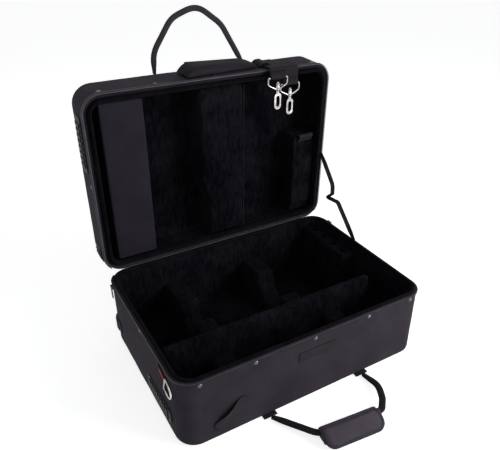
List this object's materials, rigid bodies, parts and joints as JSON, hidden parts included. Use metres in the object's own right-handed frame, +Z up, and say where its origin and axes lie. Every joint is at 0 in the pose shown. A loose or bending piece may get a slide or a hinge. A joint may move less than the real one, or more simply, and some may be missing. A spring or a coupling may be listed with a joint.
{
  "type": "trumpet case",
  "caption": "Soft-sided two-bay case with hinged plush-lined lid, perimeter zip, stay strap, carrying handles, shoulder strap with snap hooks, foam saddles and small sockets.",
  "frame": {"origin": "centre of the base's flat underside", "axes": "+X to the right along the case's long side, +Y to the back where the lid is hinged, +Z up"},
  "size_m": [0.5746, 0.6195, 0.6814],
  "materials": {
    "nylon": "dark purple-grey woven ballistic nylon, coarse plain weave",
    "zip": "black nylon coil on woven tape",
    "plush": "black short-pile plush velvet",
    "panel_weave": "dark grey smooth woven nylon panel",
    "webbing": "black ribbed nylon webbing",
    "padding": "padded fabric with bound edges",
    "rubber": "moulded ribbed rubber, matt",
    "silver": "polished nickel plate",
    "rivet": "small domed steel heads",
    "slider": "black painted die-cast metal",
    "patch": "plain sewn patch, no lettering",
    "tag": "faded red-orange woven tag, plain"
  },
  "bodies": {
    "base": {"base_shell": "nylon", "base_lining": "plush", "base_lip": "plush", "base_zip_tape": "zip", "base_hinge_tape": "webbing", "bay_divider": "plush", "socket_block": "plush", "back_bay_saddles": "plush", "front_bay_saddles": "plush", "base_rivets": "rivet", "front_patch": "patch", "corner_pull": "webbing", "strap_ring_tabs": "webbing", "side_tags": "tag", "base_end_foot": "rubber", "base_corner_feet": "rubber", "base_handle_tabs": "webbing", "stay_strap": "webbing"},
    "lid": {"lid_shell": "nylon", "lid_lining": "plush", "lid_lip": "plush", "lid_zip_tape": "zip", "lid_hinge_tape": "webbing", "lid_rivets": "rivet", "lid_end_foot": "rubber", "lid_corner_feet": "rubber", "lid_handle_tabs": "webbing", "lid_pocket": "plush", "hold_down_block": "plush", "accessory_box": "plush", "strap_pad": "padding", "strap_webbing_first": "webbing", "strap_webbing_second": "webbing"},
    "lid_handle": {"lid_handle": "webbing"},
    "base_handle": {"base_handle": "webbing", "grip_wrap": "padding"},
    "grip_flap": {"grip_flap": "padding"},
    "pocket_flap": {"pocket_flap": "panel_weave"},
    "box_door": {"box_door": "plush", "door_pull": "webbing"},
    "strap_ring_left": {"strap_ring_left": "silver"},
    "strap_ring_right": {"strap_ring_right": "silver"},
    "zip_slider_left": {"zip_slider_left": "slider"},
    "zip_slider_right": {"zip_slider_right": "slider"},
    "zip_pull_left": {"zip_pull_left": "slider"},
    "zip_pull_right": {"zip_pull_right": "slider"},
    "hook_ring_first": {"hook_ring_first": "silver"},
    "hook_ring_second": {"hook_ring_second": "silver"},
    "hook_body_first": {"hook_body_first": "silver"},
    "hook_body_second": {"hook_body_second": "silver"},
    "hook_gate_first": {"hook_gate_first": "silver"},
    "hook_gate_second": {"hook_gate_second": "silver"}
  },
  "joints": [
    {"name": "lid_hinge", "type": "hinge", "parent": "base", "child": "lid", "pos_m": [0, 0.1975, 0.16], "axis": [-1, 0, 0], "range_deg": [-88, 0], "deforming": ["stay_strap", "strap_webbing_first", "strap_webbing_second"]},
    {"name": "lid_handle_swing", "type": "hinge", "parent": "lid", "child": "lid_handle", "pos_m": [0, 0.26957, 0.55476], "axis": [-1, 0, 0], "range_deg": [-30, 175]},
    {"name": "base_handle_swing", "type": "hinge", "parent": "base", "child": "base_handle", "pos_m": [0, -0.208, 0.0038], "axis": [1, 0, 0], "range_deg": [-75, 0]},
    {"name": "grip_flap_open", "type": "hinge", "parent": "base_handle", "child": "grip_flap", "pos_m": [-0.04954, -0.2909, 0.01422], "axis": [-0.9947, 0.1024, 0], "range_deg": [0, 110]},
    {"name": "pocket_flap_open", "type": "hinge", "parent": "lid", "child": "pocket_flap", "pos_m": [-0.246, 0.19962, 0.35719], "axis": [0, 0.0349, -0.9994], "range_deg": [0, 100]},
    {"name": "box_door_open", "type": "hinge", "parent": "lid", "child": "box_door", "pos_m": [0.231, 0.20803, 0.20239], "axis": [1, 0, 0], "range_deg": [0, 92]},
    {"name": "strap_ring_left_swing", "type": "hinge", "parent": "base", "child": "strap_ring_left", "pos_m": [-0.2824, -0.13623, 0.12427], "axis": [0, 0.342, -0.9397], "range_deg": [0, 150]},
    {"name": "strap_ring_right_swing", "type": "hinge", "parent": "base", "child": "strap_ring_right", "pos_m": [0.2824, -0.13623, 0.12427], "axis": [0, -0.342, 0.9397], "range_deg": [0, 150]},
    {"name": "zip_slider_left_slide", "type": "slide", "parent": "base", "child": "zip_slider_left", "axis": [0, -1, 0], "range_m": [0, 0.24]},
    {"name": "zip_pull_left_swing", "type": "hinge", "parent": "zip_slider_left", "child": "zip_pull_left", "pos_m": [-0.2864, 0.148, 0.158], "axis": [0, 1, 0], "range_deg": [0, 120]},
    {"name": "zip_slider_right_slide", "type": "slide", "parent": "base", "child": "zip_slider_right", "axis": [0, -1, 0], "range_m": [0, 0.24]},
    {"name": "zip_pull_right_swing", "type": "hinge", "parent": "zip_slider_right", "child": "zip_pull_right", "pos_m": [0.2864, 0.148, 0.158], "axis": [0, -1, 0], "range_deg": [0, 120]},
    {"name": "hook_ring_first_swing", "type": "hinge", "parent": "lid", "child": "hook_ring_first", "pos_m": [0.136, 0.17322, 0.53998], "axis": [-1, 0, 0], "range_deg": [0, 60]},
    {"name": "hook_first_swivel", "type": "hinge", "parent": "hook_ring_first", "child": "hook_body_first", "pos_m": [0.136, 0.17392, 0.52], "axis": [0, 0.0349, -0.9994], "continuous": true},
    {"name": "hook_gate_first_open", "type": "hinge", "parent": "hook_body_first", "child": "hook_gate_first", "pos_m": [0.1428, 0.17522, 0.48272], "axis": [0, -0.9994, -0.0349], "range_deg": [0, 25], "stiffness_Nm_per_rad": 0.01, "springref_deg": -17.19},
    {"name": "hook_ring_second_swing", "type": "hinge", "parent": "lid", "child": "hook_ring_second", "pos_m": [0.171, 0.17886, 0.52177], "axis": [-1, 0, 0], "range_deg": [-20, 0]},
    {"name": "hook_second_swivel", "type": "hinge", "parent": "hook_ring_second", "child": "hook_body_second", "pos_m": [0.171, 0.17956, 0.50178], "axis": [0, 0.0349, -0.9994], "continuous": true},
    {"name": "hook_gate_second_open", "type": "hinge", "parent": "hook_body_second", "child": "hook_gate_second", "pos_m": [0.1778, 0.18086, 0.4645], "axis": [0, -0.9994, -0.0349], "range_deg": [0, 25], "stiffness_Nm_per_rad": 0.01, "springref_deg": -17.19}
  ]
}
